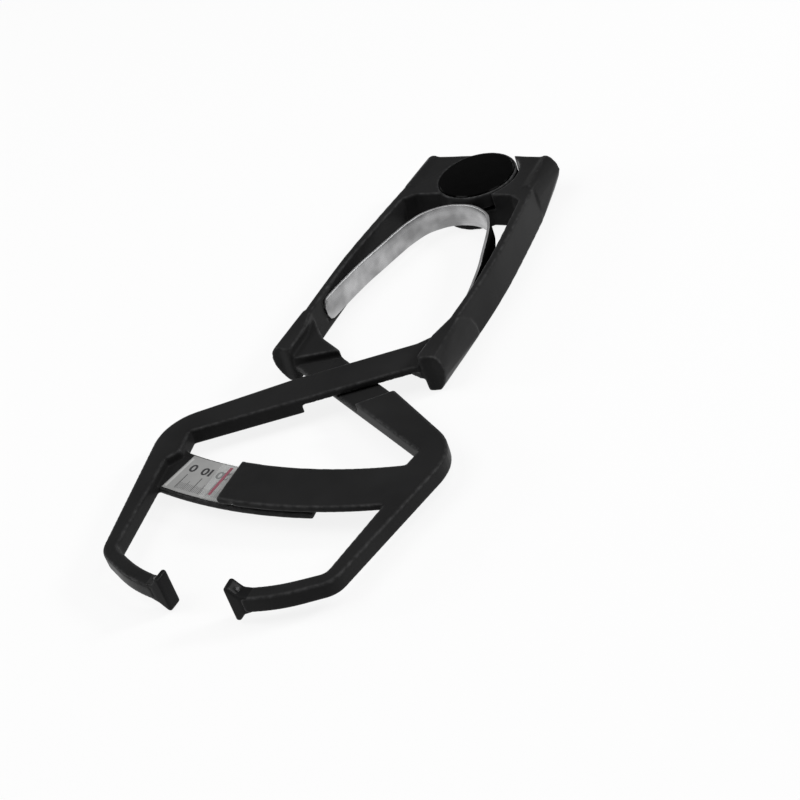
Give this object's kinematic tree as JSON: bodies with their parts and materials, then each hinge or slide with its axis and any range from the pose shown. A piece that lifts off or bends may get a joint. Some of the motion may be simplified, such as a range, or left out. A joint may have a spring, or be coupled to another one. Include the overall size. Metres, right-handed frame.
{
  "type": "skinfold caliper",
  "caption": "Skinfold caliper with crossed black moulded arms, a steel hairpin spring, a numbered arc scale with a reading window, and flared jaw pads.",
  "frame": {"origin": "on the pivot axis, at the lowest face of the back cap, which the caliper rests on", "axes": "+Z along the pivot axis, up through the front cap; -Y from the hub towards the jaws, halfway between the two arms; +X towards the jaw arm of the finger arm"},
  "size_m": [0.1266, 0.2703, 0.0176],
  "materials": {
    "arm_plastic": "black, satin, fine moulded texture",
    "pad_plastic": "black, satin",
    "cap_gloss": "black, polished",
    "spring_steel": "bright rolled strip",
    "label": "light satin grey with dark print",
    "window_clear": "clear, polished",
    "line_red": "red print",
    "fastener_steel": "plain turned steel",
    "washer_nylon": "natural, plain"
  },
  "bodies": {
    "thumb_side": {"thumb_arm": "arm_plastic", "scale_label": "label", "thumb_jaw_pad": "pad_plastic", "thumb_pad_pin": "fastener_steel", "pivot_screw": "fastener_steel", "pivot_nut": "fastener_steel", "pivot_bush": "fastener_steel", "back_washer": "fastener_steel", "thrust_washer": "washer_nylon", "back_cap": "arm_plastic", "leaf_spring": "spring_steel"},
    "finger_side": {"finger_arm": "arm_plastic", "front_cap": "cap_gloss", "front_washer": "fastener_steel", "cursor_window": "window_clear", "cursor_line": "line_red", "window_rivet_inner": "fastener_steel", "window_rivet_outer": "fastener_steel", "finger_jaw_pad": "pad_plastic", "finger_pad_pin": "fastener_steel"}
  },
  "joints": [
    {"name": "arm_pivot", "type": "hinge", "parent": "thumb_side", "child": "finger_side", "pos_m": [0, 0, 0.00895], "axis": [0, 0, 1], "range_deg": [-6.1, 9.6], "stiffness_Nm_per_rad": 2, "deforming": ["leaf_spring"]}
  ]
}
